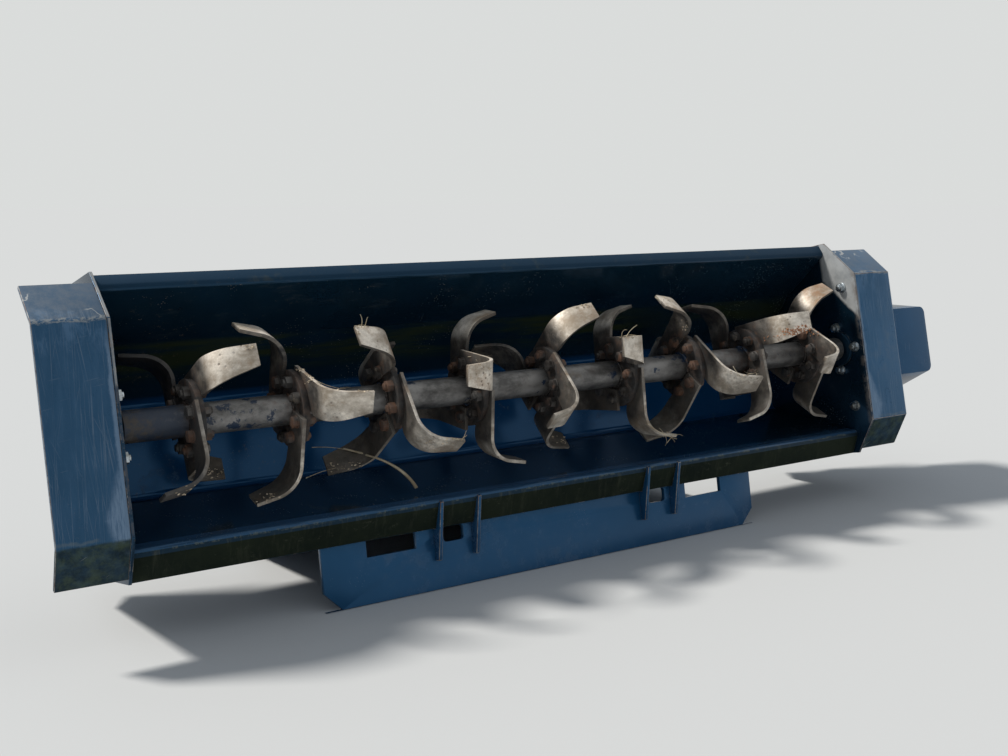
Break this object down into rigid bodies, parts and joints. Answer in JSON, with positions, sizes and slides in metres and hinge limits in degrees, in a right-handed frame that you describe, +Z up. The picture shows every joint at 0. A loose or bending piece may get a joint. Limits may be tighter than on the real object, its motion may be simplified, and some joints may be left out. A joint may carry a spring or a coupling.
{
  "type": "skid-steer rotary tiller",
  "caption": "Rotary tiller attachment lying back on its attach plate: a black steel hood with skids at both ends, and a cross rotor of flanges and curved tines that spins.",
  "frame": {"origin": "on the floor, under the middle of the box of the tiller as it lies", "axes": "+Z up from the floor, +X along the rotor towards the drive case and motor, +Y away from the hood's open mouth, towards the hook end of the attach plate"},
  "size_m": [2.396, 0.5604, 0.6677],
  "materials": {
    "black_paint": "glossy black powder coat with fine scratches and dust",
    "cast_bearing": "painted black casting",
    "motor_paint": "satin black",
    "worn_steel": "worn brown steel with dried soil",
    "bare_steel": "machined",
    "tine_steel": "bare worn steel, tan with dry soil and light rust"
  },
  "bodies": {
    "housing": {"hood_shell": "black_paint", "side_plate_left": "black_paint", "side_plate_right": "black_paint", "left_skid": "black_paint", "left_skid_ribs": "black_paint", "bearing_left": "cast_bearing", "bearing_right": "cast_bearing", "drive_case": "black_paint", "hydraulic_motor": "motor_paint", "motor_guard": "black_paint", "attach_plate": "black_paint", "hitch_ribs": "black_paint", "ledge_gussets": "black_paint"},
    "rotor": {"rotor_tube": "worn_steel", "stub_shafts": "bare_steel", "rotor_flanges": "worn_steel", "tines_1": "tine_steel", "tines_2": "tine_steel", "tines_3": "tine_steel", "tines_4": "tine_steel", "tines_5": "tine_steel", "tines_6": "tine_steel", "tines_7": "tine_steel", "tines_8": "tine_steel", "tines_9": "tine_steel"}
  },
  "joints": [
    {"name": "rotor_spin", "type": "hinge", "parent": "housing", "child": "rotor", "pos_m": [-0.128, -0.10494, 0.39539], "axis": [1, 0, 0], "continuous": true}
  ]
}
